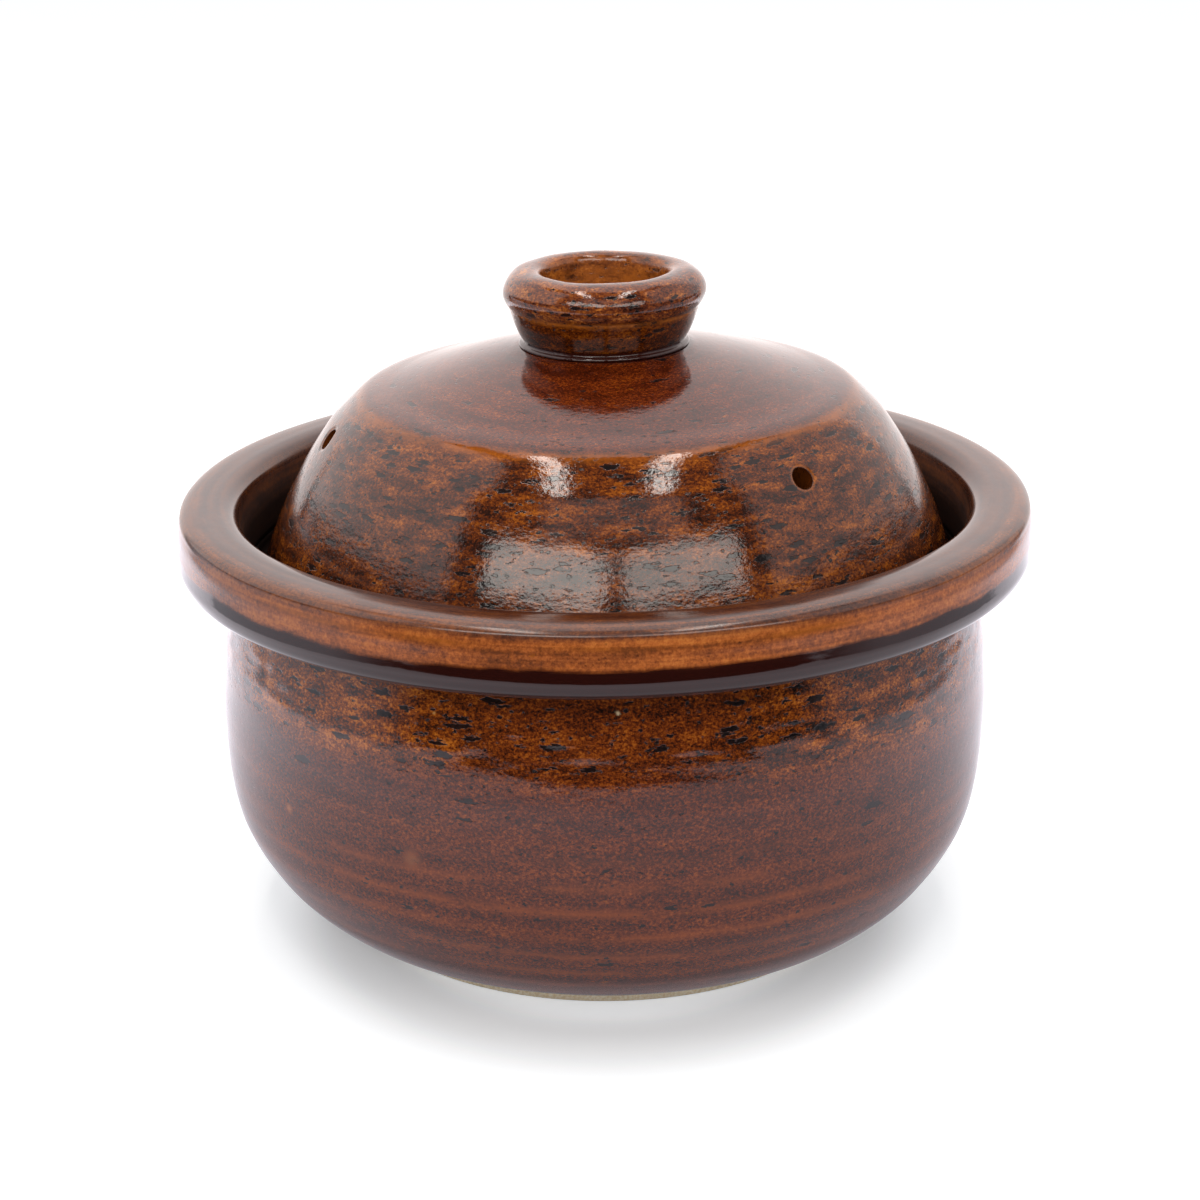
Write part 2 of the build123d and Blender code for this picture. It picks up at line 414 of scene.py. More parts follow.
def drillPiece(piece, drills):
    # cuts round drills through a wall: place, direction and radius of each
    cutters = []
    for place, way, radius in drills:
        bm = bmesh.new()
        bmesh.ops.create_cone(bm, cap_ends=True, segments=64, radius1=radius, radius2=radius, depth=40 * mm)
        turn = way.to_track_quat("Z", "Y").to_matrix()
        bmesh.ops.rotate(bm, verts=bm.verts, cent=(0, 0, 0), matrix=turn)
        bmesh.ops.translate(bm, verts=bm.verts, vec=place)
        mesh = bpy.data.meshes.new("drill")
        bm.to_mesh(mesh)
        bm.free()
        cutter = bpy.data.objects.new("drill", mesh)
        bpy.context.scene.collection.objects.link(cutter)
        cut = piece.modifiers.new("drill", "BOOLEAN")
        cut.operation = "DIFFERENCE"
        cut.solver = "EXACT"
        cut.object = cutter
        cutters.append(cutter)
    bpy.context.view_layer.update()
    shaped = piece.evaluated_get(bpy.context.evaluated_depsgraph_get())
    mesh = bpy.data.meshes.new_from_object(shaped)
    piece.modifiers.clear()
    piece.data = mesh
    for cutter in cutters:
        bpy.data.objects.remove(cutter)
    mesh.set_sharp_from_angle(angle=math.radians(48))


steamDrills = []
for angle in lid["holeAngles"]:
    where, way = holeFrame(angle)
    where = leanBy(where, lid["lean"]) + Vector((lid["shift"], 0, lid["lift"])) * mm
    steamDrills.append((where, way, lid["holeRadius"] * mm))
drillPiece(lidDome, steamDrills)


def lidCoat(co):
    plain = Vector((co.x - lid["shift"] * mm, co.y, co.z - co.x * math.tan(lid["lean"]) - lid["lift"] * mm))
    radius = outwardOf(plain).dot(plain) / mm
    height = plain.z / mm
    fromRidge = Vector((radius - lid["ridge"], height - lid["ridgeHeight"])).length
    thin = 0.65 * math.exp(-(fromRidge / lid["breakWidth"]) ** 2)
    away = holeDistance(plain)
    holeEdge = 0.9 * (1 - ease(away, lid["holeRadius"] + 0.3, lid["holeRadius"] + 0.9))
    # the wall inside each steam hole takes the dark pool colour as painted shade
    bore = 1 - ease(away, lid["holeRadius"] + 0.1, lid["holeRadius"] + 0.25)
    outside = height > 158.2 and radius < 26.5
    seatPool = 1 - ease(radius, 22.6, 23.4) if outside else 0
    warm = 1 - ease(height, 145.5, 148.5)
    return {"thin": max(thin, holeEdge), "pool": max(seatPool, 0.85 * bore), "warm": warm}


coat(lidDome, lidCoat)
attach(lidDome, "lid")
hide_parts("lid_dome")
print("domed lid thrown:", len(lidDome.data.polygons), "faces")


# knob

knob = {
    "foot": lid["seat"],
    "crown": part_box("lid_knob")[1].z / mm,
    "footRadius": 22.3,
    "mouth": 17.0,
    "recess": 162.5,
    "turns": 160,
    "lumps": 0.35,
    "shoulder": 9.9,        # height of the thin line under the roll, mm above the foot
    "mouthLine": 17.3,      # radius of the thin line round the mouth
    "poolTop": 1.6,
}


def sculptKnob(co):
    rise = ease(co.z / mm, knob["foot"] + 6, knob["crown"] - 4)
    co = co + outwardOf(co) * knob["lumps"] * wander(co, 13, 31) * rise * mm
    co.z += 0.35 * mm * wander(Vector((co.x, co.y, 0)), 12, 8) * rise
    co = leanBy(co, lid["lean"])
    co.z += lid["lift"] * mm
    return co


foot, crown, ring = knob["foot"], knob["crown"], knob["footRadius"]
lidKnob = throwPiece("lidKnob", [
    (3.0, [(0, foot - 0.2), (ring - 1, foot - 0.2)]),
    (0.3, [(ring + 0.5, foot - 0.05), (ring + 0.35, foot + 0.5), (ring - 0.35, foot + 1.0),
           (ring - 0.45, foot + 1.5), (ring - 0.1, foot + 2.0)]),
    (0.4, [(23.2, foot + 3.9), (24.2, foot + 6.3), (25.0, foot + 8.8), (25.3, foot + 9.7),
           (25.5, foot + 10.3), (26.2, foot + 11.3), (26.9, foot + 12.9), (27.1, foot + 14.2),
           (26.7, foot + 15.9), (25.6, foot + 17.7), (24.0, foot + 19.1), (22.2, crown - 0.2),
           (20.2, crown), (18.6, crown - 0.2), (17.4, crown - 0.9), (knob["mouth"] - 0.2, crown - 2.3),
           (16.3, crown - 5.0), (15.6, crown - 9.5), (14.6, crown - 13.5), (12.6, knob["recess"] + 1.2),
           (9.8, knob["recess"])]),
    (2.0, [(0, knob["recess"])]),
], knob["turns"], sculptKnob)


def knobCoat(co):
    height = (co.z - co.x * math.tan(lid["lean"])) / mm - lid["lift"] - foot
    radius = outwardOf(co).dot(co) / mm
    mouth = 0.5 * math.exp(-((radius - knob["mouthLine"]) / 0.9) ** 2) * ease(height, 15, 18)
    shoulder = 0.55 * math.exp(-((height - knob["shoulder"]) / 0.6) ** 2) * (radius > 20)
    hollow = 0.62 * (1 - ease(radius, 16.2, 17.0)) * ease(height, 4, 8)
    pool = (1 - ease(height, knob["poolTop"], 2.2)) * (radius > 20)
    return {"pool": pool, "thin": max(mouth, shoulder, hollow), "warm": ease(height, 10.2, 11.2)}


coat(lidKnob, knobCoat)
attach(lidKnob, "lid")
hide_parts("lid_knob")
print("knob thrown:", len(lidKnob.data.polygons), "faces")


# inner lid and its button, out of sight while the pot is closed

inner = {
    "rest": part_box("inner_lid")[0].z / mm,
    "top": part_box("inner_lid_knob")[0].z / mm,
    "radius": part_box("inner_lid")[1].x / mm,
    "thickness": 7.0,
    "ventRadius": 4.0,
    "ventCircle": 45.0,
    "turns": 200,
    "buttonTurns": 96,
    "fingerRings": 0.05,
}


def sculptInner(co):
    radius = outwardOf(co).dot(co) / mm
    upper = ease(co.z / mm, inner["rest"] + 4, inner["rest"] + 6)
    rings = inner["fingerRings"] * math.sin(math.tau * radius / 5.5) * ease(radius, 14, 22)
    co.z += (rings + 0.15 * wander(Vector((co.x, co.y, 0)), 30, 41)) * mm * upper
    return leanBy(co, rim["lean"])


innerLid = throwPiece("innerLid", [
    (4.0, [(0, inner["top"] - 0.2), (10.5, inner["top"] - 0.2)]),
    (1.0, [(14.0, inner["top"] - 0.25), (45.0, 101.6), (70.0, 98.3), (83.0, 95.9), (86.9, 94.9),
           (inner["radius"] - 0.1, 92.9), (inner["radius"] - 0.1, 91.1),
           (inner["radius"] - 1.3, inner["rest"])]),
    (2.0, [(84.6, inner["rest"])]),
    (3.0, [(80.0, 90.9), (45.0, 95.0), (15.0, inner["top"] - inner["thickness"])]),
    (4.0, [(0, inner["top"] - inner["thickness"])]),
], inner["turns"], sculptInner)
vents = [Vector((side * inner["ventCircle"] * mm, 0, inner["top"] * mm)) for side in (-1, 1)]
drillPiece(innerLid, [(vent, Vector((0, 0, 1)), inner["ventRadius"] * mm) for vent in vents])
coat(innerLid, lambda co: {"bare": 1 - ease(co.z / mm, inner["rest"] + 0.6, inner["rest"] + 1.2)})
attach(innerLid, "inner_lid")
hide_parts("inner_lid")

button = inner["top"]
innerKnob = throwPiece("innerKnob", [
    (3.0, [(0, button - 0.3), (9.5, button - 0.3)]),
    (0.5, [(11.2, button - 0.1), (9.8, button + 0.9), (9.2, button + 4.5), (12.0, button + 9.5),
           (10.8, button + 12.6), (7.0, button + 13.9), (3.0, button + 13.6)]),
    (1.5, [(0, button + 13.5)]),
], inner["buttonTurns"], lambda co: leanBy(co, rim["lean"]))
coat(innerKnob, lambda co: {"pool": 1 - ease(co.z / mm, button + 0.6, button + 1.4)})
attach(innerKnob, "inner_lid")
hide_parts("inner_lid_knob")
print("inner lid and its button thrown")


# glaze: iron amber over thrown stoneware, fired glassy

def amberGlaze(name, look):
    # it breaks orange where it is thin and gathers nearly black where it pools, and the wheel has drawn its
    # iron specks out sideways
    material = bpy.data.materials.new(name)
    material.use_nodes = True
    tree = material.node_tree
    shader = tree.nodes["Principled BSDF"]
    place = addNode(tree, "TexCoord", output="Object")
    axes = addNode(tree, "SeparateXYZ", {}, {0: place}, None).outputs
    notes = {key: addNode(tree, "Attribute", {"attribute_name": key}, output="Fac")
             for key in ("run", "thin", "pool", "bare", "warm", "dull")}
    # wheel space: across the wall by x and y, along the outline by its own length
    wheel = addNode(tree, "CombineXYZ", {}, {0: axes["X"], 1: axes["Y"], 2: notes["run"]})

    def speckle(size, flatten, detail, seed, harshness=0.6):
        # noise with cells size mm wide and flatten times lower
        spread = addNode(tree, "Mapping", {}, {
            "Vector": wheel, "Location": (seed, seed * 0.7, seed * 1.3),
            "Scale": (1 / (size * mm), 1 / (size * mm), flatten / (size * mm))})
        return addNode(tree, "TexNoise", {}, {
            "Vector": spread, "Scale": 1.0, "Detail": detail, "Roughness": harshness}, "Fac")

    def spots(size, flatten, share, small, large, ragged, seed, soft=0.12):
        # a share of the cells, each size mm wide and flatten times lower, holds one spot; radii in mm
        grown = addNode(tree, "Mapping", {}, {
            "Vector": wheel, "Location": (seed, seed * 0.6, seed * 1.1),
            "Scale": (1 / (size * mm), 1 / (size * mm), flatten / (size * mm))})
        shake = addNode(tree, "TexNoise", {}, {"Vector": grown, "Scale": 3.5, "Detail": 2.0}, "Color")
        shake = addNode(tree, "VectorMath", {"operation": "SUBTRACT"}, {0: shake, 1: (0.5, 0.5, 0.5)})
        shake = addNode(tree, "VectorMath", {"operation": "SCALE"}, {0: shake, "Scale": ragged})
        moved = addNode(tree, "VectorMath", {"operation": "ADD"}, {0: grown, 1: shake})
        cells = addNode(tree, "TexVoronoi", {"feature": "F1"}, {"Vector": moved, "Scale": 1.0}, None)
        chance = addNode(tree, "SeparateColor", {}, {0: cells.outputs["Color"]}, None).outputs
        radius = addNode(tree, "MapRange", {}, {
            "Value": chance[1], "To Min": small / size, "To Max": large / size})
        away = addNode(tree, "Math", {"operation": "SUBTRACT"}, {0: cells.outputs["Distance"], 1: radius})
        filled = addNode(tree, "MapRange", {"interpolation_type": "SMOOTHSTEP"}, {
            "Value": away, "From Min": soft / size, "From Max": -soft / size})
        picked = addNode(tree, "Math", {"operation": "LESS_THAN"}, {0: chance[0], 1: share})
        return addNode(tree, "Math", {"operation": "MULTIPLY"}, {0: filled, 1: picked})

    # the glaze's own colour: fine grain, mottle and long streaks through a dark and a warm ramp
    grain = speckle(look["grain"], look["grainFlat"], 4.0, 1.0, 0.8)
    mottle = speckle(look["mottle"], look["mottleFlat"], 4.0, 5.0, 0.65)
    streak = speckle(look["streak"], look["streakFlat"], 2.0, 9.0)
    total = look["shift"]
    for pattern, share in ((grain, "grainShare"), (mottle, "mottleShare"), (streak, "streakShare")):
        total = addNode(tree, "Math", {"operation": "MULTIPLY_ADD"}, {0: pattern, 1: look[share], 2: total})
    # the warm zones are more mottled
    ruffle = addNode(tree, "Math", {"operation": "SUBTRACT"}, {0: speckle(8, 2.6, 2.0, 57.0), 1: 0.5})
    ruffle = addNode(tree, "Math", {"operation": "MULTIPLY"}, {0: ruffle, 1: notes["warm"]})
    total = addNode(tree, "Math", {"operation": "MULTIPLY_ADD"}, {0: ruffle, 1: look["ruffle"], 2: total})
    shades = []
    for stops in (look["darkRamp"], look["warmRamp"]):
        ramp = addNode(tree, "ValToRGB", {}, {"Fac": total}, None)
        while len(ramp.color_ramp.elements) < len(stops):
            ramp.color_ramp.elements.new(0.5)
        for element, (stop, shade) in zip(ramp.color_ramp.elements, stops):
            element.position = stop
            element.color = hexColor(shade)
        shades.append(ramp.outputs["Color"])
    color = addNode(tree, "Mix", {"data_type": "RGBA"}, {
        "Factor": notes["warm"], "A": shades[0], "B": shades[1]}, "Result")

    # throwing lines: the glaze runs thin over each ridge that the fingers left, a crisp core in a soft edge
    turns = addNode(tree, "Math", {"operation": "DIVIDE"}, {0: notes["run"], 1: look["linePitch"] * mm})
    turns = addNode(tree, "Math", {"operation": "MULTIPLY_ADD"}, {
        0: speckle(60, 1.0, 2.0, 13.0), 1: look["lineWobble"], 2: turns})
    turns = addNode(tree, "Math", {"operation": "MULTIPLY_ADD"}, {0: grain, 1: 0.2, 2: turns})
    phase = addNode(tree, "Math", {"operation": "FRACT"}, {0: turns})
    phase = addNode(tree, "Math", {"operation": "SUBTRACT"}, {0: phase, 1: 0.5})
    crest = addNode(tree, "Math", {"operation": "ABSOLUTE"}, {0: phase})
    core = addNode(tree, "MapRange", {"interpolation_type": "SMOOTHSTEP"}, {
        "Value": crest, "From Min": look["lineCore"], "From Max": 0.02, "To Max": 0.8})
    edge = addNode(tree, "MapRange", {"interpolation_type": "SMOOTHSTEP"}, {
        "Value": crest, "From Min": look["lineEdge"], "From Max": 0.0, "To Max": 0.62})
    line = addNode(tree, "Math", {"operation": "MAXIMUM"}, {0: core, 1: edge})
    broken = addNode(tree, "MapRange", {"interpolation_type": "SMOOTHSTEP"}, {
        "Value": speckle(20, 2.4, 3.0, 17.0), "From Min": 0.3, "From Max": 0.58,
        "To Max": look["lineShare"]})
    line = addNode(tree, "Math", {"operation": "MULTIPLY"}, {0: line, 1: broken})
    lower = addNode(tree, "MapRange", {"interpolation_type": "SMOOTHSTEP"}, {
        "Value": axes["Z"], "From Min": look["lineTop"] * mm, "From Max": look["lineBase"] * mm})
    line = addNode(tree, "Math", {"operation": "MULTIPLY"}, {0: line, 1: lower})

    # thin edges break orange in a wavering line
    wavering = addNode(tree, "MapRange", {"interpolation_type": "SMOOTHSTEP"}, {
        "Value": mottle, "From Min": 0.3, "From Max": 0.6, "To Min": 0.35})
    thin = addNode(tree, "Math", {"operation": "MULTIPLY"}, {0: notes["thin"], 1: wavering})

    # fine iron specks, rusty flecks, dots, then blue-black dashes that thin out below the base height
    pepper = addNode(tree, "Math", {"operation": "MULTIPLY"}, {
        0: spots(1.5, 1.2, look["pepperShare"], 0.12, 0.36, 0.5, 21.0), 1: look["pepperDepth"]})
    rust = addNode(tree, "Math", {"operation": "MULTIPLY"}, {
        0: spots(3.4, 1.3, look["rustShare"], 0.2, 0.8, 0.8, 37.0, 0.3), 1: 0.5})
    share = addNode(tree, "MapRange", {"interpolation_type": "SMOOTHSTEP"}, {
        "Value": axes["Z"], "From Min": look["dashBase"] * mm, "From Max": look["dashTop"] * mm,
        "To Min": look["dashFew"], "To Max": look["dashMany"]})
    dotShare = addNode(tree, "Math", {"operation": "MULTIPLY_ADD"}, {0: share, 1: 0.8, 2: look["dotFew"]})
    dots = spots(look["dot"], 1.5, dotShare, 0.2, 0.75, 0.6, 25.0)
    dashes = spots(look["dash"], look["dashFlat"], share, 0.07 * look["dash"], 0.4 * look["dash"],
                   0.75, 29.0, 0.26)
    iron = addNode(tree, "Math", {"operation": "MAXIMUM"}, {0: dots, 1: dashes})
    sunk = addNode(tree, "MapRange", {}, {"Value": thin, "From Max": 0.8, "To Min": 0.94, "To Max": 0.15})
    ironDepth = addNode(tree, "Math", {"operation": "MULTIPLY"}, {0: iron, 1: sunk})
    layers = [(line, "lineColor"), (thin, "thinColor"), (pepper, "pepperColor"), (rust, "thinColor"),
              (ironDepth, "dashColor")]
    for share, shade in layers:
        color = addNode(tree, "Mix", {"data_type": "RGBA"}, {
            "Factor": share, "A": color, "B": hexColor(look[shade])}, "Result")
    for azimuth, radius, height, size, shade in look["marks"]:
        turn = math.radians(azimuth)
        spot = (math.sin(turn) * radius * mm, -math.cos(turn) * radius * mm, height * mm)
        away = addNode(tree, "VectorMath", {"operation": "DISTANCE"}, {0: place, 1: spot}, "Value")
        away = addNode(tree, "Math", {"operation": "MULTIPLY_ADD"}, {0: grain, 1: 3.2 * size * mm, 2: away})
        mark = addNode(tree, "MapRange", {"interpolation_type": "SMOOTHSTEP"}, {
            "Value": away, "From Min": 2.9 * size * mm, "From Max": 1.7 * size * mm, "To Max": 0.7})
        color = addNode(tree, "Mix", {"data_type": "RGBA"}, {
            "Factor": mark, "A": color, "B": hexColor(shade)}, "Result")

    # pools, also painted shade in the steam holes; painted shade on the matt seats and bore under the lid;
    # bare clay at the foot
    clayGrain = addNode(tree, "MapRange", {"interpolation_type": "SMOOTHSTEP"}, {
        "Value": speckle(0.8, 1.0, 2.0, 33.0), "From Min": 0.3, "From Max": 0.7})
    clay = addNode(tree, "Mix", {"data_type": "RGBA"}, {
        "Factor": clayGrain, "A": hexColor(look["clayDark"]), "B": hexColor(look["clayLight"])}, "Result")
    bare = addNode(tree, "MapRange", {"interpolation_type": "SMOOTHSTEP"}, {
        "Value": notes["bare"], "From Min": 0.35, "From Max": 0.65})
    covers = [(notes["pool"], hexColor(look["poolColor"])), (notes["dull"], hexColor(look["paintedShadeColor"])),
              (bare, clay)]
    for share, cover in covers:
        color = addNode(tree, "Mix", {"data_type": "RGBA"}, {
            "Factor": share, "A": color, "B": cover}, "Result")
    tree.links.new(color, shader.inputs["Base Color"])

    # orange peel over a slower swell, with each dash a shallow pit; heights in mm
    unruly = addNode(tree, "MapRange", {}, {
        "Value": notes["warm"], "To Min": look["peel"] * look["calm"], "To Max": look["peel"]})
    relief = addNode(tree, "Math", {"operation": "MULTIPLY"}, {0: speckle(1.6, 1.4, 3.0, 45.0), 1: unruly})
    relief = addNode(tree, "Math", {"operation": "MULTIPLY_ADD"}, {
        0: speckle(4.5, 1.8, 1.0, 41.0), 1: look["swell"], 2: relief})
    relief = addNode(tree, "Math", {"operation": "MULTIPLY_ADD"}, {0: iron, 1: -look["pit"], 2: relief})
    bump = addNode(tree, "Bump", {}, {"Strength": 1.0, "Distance": 1 * mm, "Height": relief}, "Normal")
    tree.links.new(bump, shader.inputs["Normal"])
    sheen = addNode(tree, "Mix", {"data_type": "FLOAT"}, {
        "Factor": notes["pool"], "A": look["roughness"], "B": look["poolRoughness"]}, "Result")
    matt = addNode(tree, "Math", {"operation": "MAXIMUM"}, {0: bare, 1: notes["dull"]})
    sheen = addNode(tree, "Mix", {"data_type": "FLOAT"}, {
        "Factor": matt, "A": sheen, "B": look["clayRoughness"]}, "Result")
    tree.links.new(sheen, shader.inputs["Roughness"])
    mirror = addNode(tree, "Mix", {"data_type": "FLOAT"}, {
        "Factor": notes["dull"], "A": 0.5, "B": look["dullMirror"]}, "Result")
    tree.links.new(mirror, shader.inputs["Specular IOR Level"])
    shader.inputs["IOR"].default_value = look["glassIor"]
    return material


amber = {
    "grain": 0.85,
    "grainFlat": 1.3,
    "grainShare": 0.84,
    "mottle": 9,
    "mottleFlat": 2.6,
    "mottleShare": 0.18,
    "streak": 110,
    "streakFlat": 14,
    "streakShare": 0.2,
    "shift": -0.11,
    "ruffle": 0.5,           # how much more mottled the warm zones are
    "darkRamp": [(0.36, "#1c0a05"), (0.44, "#371307"), (0.50, "#4c1c09"), (0.56, "#642b0e"),
                 (0.66, "#874415")],
    "warmRamp": [(0.35, "#160904"), (0.43, "#3c1a08"), (0.50, "#612b08"), (0.57, "#85420d"),
                 (0.67, "#b0681f")],
    "linePitch": 7.4,
    "lineWobble": 0.55,
    "lineCore": 0.14,        # half widths of the core and the edge, in pitches
    "lineEdge": 0.4,
    "lineTop": 64,
    "lineBase": 42,
    "lineShare": 0.62,
    "lineColor": "#8a4214",
    "thinColor": "#96500f",
    "pepperShare": 0.6,
    "pepperDepth": 0.75,
    "pepperColor": "#140606",
    "rustShare": 0.07,
    "dot": 3.0,
    "dotFew": 0.45,
    "dash": 8.4,
    "dashFlat": 3.2,
    "dashFew": 0.04,
    "dashMany": 0.85,
    "dashBase": 70,
    "dashTop": 82,
    "dashColor": "#0b0a0c",
    "poolColor": "#2a0c07",
    "peel": 0.06,
    "calm": 0.4,             # the share of that peel outside the warm zones
    "swell": 0.03,
    "pit": 0.03,
    "roughness": 0.07,
    "poolRoughness": 0.07,
    "clayRoughness": 0.75,
    "glassIor": 1.55,
    "clayDark": "#e8d2ac",
    "clayLight": "#fcf0da",
    # near black: painted shade on the seats and down the collar's bore
    "paintedShadeColor": "#120705",
    "dullMirror": 0.03,
    # single flaws: azimuth from the front in degrees, radius and height in mm, size in mm, colour
    "marks": [(1.8, 102.3, 94.1, 0.6, "#c9b490"), (-23.8, 102.6, 90.8, 0.5, "#a8814c"),
              (-50.7, 104.8, 53.4, 1.5, "#9c5a26"), (-27.2, 104.9, 51.5, 2.6, "#7d4624")],
}
# the pieces above the body: no throwing lines, and their dashes thin out upwards
upper = {
    **amber, "lineShare": 0.0, "dotFew": 0.2, "dashFew": 0.12, "dashMany": 0.8, "dashBase": 152,
    "dashTop": 146, "dash": 6.4, "marks": [],
}
glazes = {
    "potBody": amberGlaze("amberGlazeBody", amber),
    "potCollar": amberGlaze("amberGlazeCollar", {
        **upper, "dashMany": 0.0, "dashFew": 0.0, "dotFew": 0.0, "rustShare": 0.05, "pepperShare": 0.2,
        "pepperDepth": 0.5, "grain": 1.1, "grainFlat": 1.0, "grainShare": 0.5, "mottle": 14,
        "mottleFlat": 2.2, "mottleShare": 0.34, "streak": 80, "streakFlat": 48, "streakShare": 0.38,
        "ruffle": 0.0, "peel": 0.006, "swell": 0.02, "roughness": 0.2,
        "darkRamp": [(0.38, "#321d17"), (0.46, "#48281d"), (0.53, "#5f341d"), (0.62, "#7a4421")],
        "warmRamp": [(0.38, "#582c13"), (0.46, "#7a3e18"), (0.53, "#964f1f"), (0.62, "#b0672b")],
        "thinColor": "#8a4a0c", "poolColor": "#220805"}),
    "lidDome": amberGlaze("amberGlazeLid", {
        **upper, "grainShare": 0.68, "mottleShare": 0.24, "shift": -0.06, "ruffle": 0.4, "dash": 7.2,
        "dashMany": 0.9,
        "darkRamp": [(0.36, "#120401"), (0.44, "#351005"), (0.51, "#4f1b08"), (0.58, "#6b2d0b"),
                     (0.67, "#94500f")],
        "warmRamp": [(0.35, "#120703"), (0.43, "#2f1206"), (0.50, "#4d2007"), (0.57, "#6f350a"),
                     (0.67, "#9c5715")]}),
    "lidKnob": amberGlaze("amberGlazeKnob", {
        **upper, "dash": 5.5, "dot": 2.8, "dashBase": 181, "dashTop": 175, "grainShare": 0.66,
        "mottle": 6, "mottleShare": 0.42, "shift": -0.15, "ruffle": 0.25, "calm": 0.8,
        "thinColor": "#a65e22",
        "darkRamp": [(0.35, "#120401"), (0.43, "#2d0f02"), (0.50, "#471b03"), (0.57, "#663006"),
                     (0.67, "#8e5012")],
        "warmRamp": [(0.35, "#1d0b06"), (0.43, "#441d10"), (0.50, "#653015"), (0.57, "#864819"),
                     (0.67, "#bc7632")]}),
    "innerLid": amberGlaze("amberGlazeInnerLid", {**upper, "dashFew": 0.3}),
    "innerKnob": amberGlaze("amberGlazeInnerKnob", {**upper, "dashFew": 0.3, "dash": 5.0}),
}
for piece in (potBody, potCollar, lidDome, lidKnob, innerLid, innerKnob):
    piece.data.materials.clear()
    piece.data.materials.append(glazes[piece.name])
print("glazes mixed")


# studio: a narrow white paper sweep in a dim room, with softboxes, overhead strips and bounce panels

studio = {
    "floorSize": 6.0,
    "floorDrop": 0.05,       # below the foot, mm
    "floorColor": "#d6d8da",
    "floorGlow": 0.49,
    "glowColor": (0.965, 1.0, 1.04, 1.0),   # takes the lamps' warmth out of the shadow
    "floorDip": 0.25,        # how much less the paper glows in the pot's shadow
    "dipRings": (0.056, 0.074, 0.081, 0.106),   # radii where it starts, is full, still full and ends, m
    "dipShape": (1.12, 1.0, 1.0),
    "dipMiddle": (0.0, 0.014, 0.0),   # the light comes from behind, so the shadow lies forward
    # what the glaze reflects of the paper, dimmer near the pot as painted shadow: distance from the pot's
    # axis in m and radiance
    "floorInGlaze": [(0.07, 0.25), (0.09, 0.35), (0.107, 0.6), (0.18, 0.95), (0.26, 1.35), (0.45, 1.3)],
    "skyOnClay": 0.72,       # soft light from all round
    "roomInGlaze": 0.10,     # what the glaze reflects where nothing stands
    "floorTilt": (-0.5, 1.6, 0.0),   # the paper is brighter behind the pot and on the left, per m
    "tiltMiddle": 1.25,
    "tiltLeast": 0.75,
    "tiltMost": 1.6,
    "rampReach": 0.5,        # the distance at the end of the paper's ramp, m, and the radiance at its white
    "rampPeak": 2.0,
    "floorTint": "#fbf6ff",
    "tableTint": "#f2f4ff",
    "cardTint": "#fff5f3",
    "cardEdge": 0.03,        # radiance at the faded edge of a card
    "lampColor": (1.0, 0.95, 0.89),
    "paperLeft": -0.41,
    "paperRight": 0.43,
    "paperFront": -0.375,
    "paperBack": 0.38,
}


def aimAt(obj, where, target):
    obj.location = where
    obj.rotation_euler = (Vector(target) - Vector(where)).to_track_quat("-Z", "Y").to_euler()


def softbox(name, width, height, radiance, where, target):
    light = bpy.data.lights.new(name, "AREA")
    light.shape = "RECTANGLE"
    light.size = width
    light.size_y = height
    light.energy = radiance * math.pi * width * height
    light.color = studio["lampColor"]
    lamp = bpy.data.objects.new(name, light)
    bpy.context.scene.collection.objects.link(lamp)
    aimAt(lamp, where, target)


def panel(name, width, height, glow, where, target, roll=0, soft=(0, 0), tint=studio["cardTint"]):
    # a studio card that only shows in the glaze's reflections; soft is the share of its half width and half
    # height that fades
    bm = bmesh.new()
    bmesh.ops.create_grid(bm, x_segments=1, y_segments=1, size=0.5)
    bmesh.ops.scale(bm, vec=(width, height, 1), verts=bm.verts)
    mesh = bpy.data.meshes.new(name)
    bm.to_mesh(mesh)
    bm.free()
    card = bpy.data.objects.new(name, mesh)
    bpy.context.scene.collection.objects.link(card)
    aimAt(card, where, target)
    if roll:
        card.rotation_euler.rotate_axis("Z", roll)
    card.visible_camera = False
    card.visible_diffuse = False
    card.visible_shadow = False
    card.visible_transmission = False
    material = bpy.data.materials.new(name)
    material.use_nodes = True
    tree = material.node_tree
    tree.nodes.clear()
    axes = addNode(tree, "SeparateXYZ", {}, {0: addNode(tree, "TexCoord", output="Object")}, None).outputs
    strength = glow
    for axis, reach, fade in ((0, width / 2, soft[0]), (1, height / 2, soft[1])):
        if fade:
            away = addNode(tree, "Math", {"operation": "ABSOLUTE"}, {0: axes[axis]})
            strength = addNode(tree, "MapRange", {"interpolation_type": "SMOOTHSTEP"}, {
                "Value": away, "From Min": reach, "From Max": reach * (1 - fade),
                "To Min": studio["cardEdge"], "To Max": strength})
    shade = addNode(tree, "Emission", {}, {"Color": hexColor(tint), "Strength": strength})
    addNode(tree, "OutputMaterial", {}, {"Surface": shade}, None)
    mesh.materials.append(material)


bm = bmesh.new()
bmesh.ops.create_grid(bm, x_segments=1, y_segments=1, size=studio["floorSize"] / 2)
bmesh.ops.translate(bm, verts=bm.verts, vec=(0, 0, -studio["floorDrop"] * mm))
floorMesh = bpy.data.meshes.new("floor")
bm.to_mesh(floorMesh)
bm.free()
floor = bpy.data.objects.new("floor", floorMesh)
bpy.context.scene.collection.objects.link(floor)
material = bpy.data.materials.new("whitePaper")
material.use_nodes = True
tree = material.node_tree
tree.nodes.clear()
paths = addNode(tree, "LightPath", output=None).outputs
onPaper = addNode(tree, "TexCoord", output="Object")
shifted = addNode(tree, "VectorMath", {"operation": "MULTIPLY_ADD"}, {
    0: onPaper, 1: studio["dipShape"], 2: studio["dipMiddle"]})
spread = addNode(tree, "VectorMath", {"operation": "LENGTH"}, {0: shifted}, "Value")
rings = studio["dipRings"]
dip = [addNode(tree, "MapRange", {"interpolation_type": "SMOOTHSTEP"}, {
    "Value": spread, "From Min": low, "From Max": high}) for low, high in (rings[:2], rings[:1:-1])]
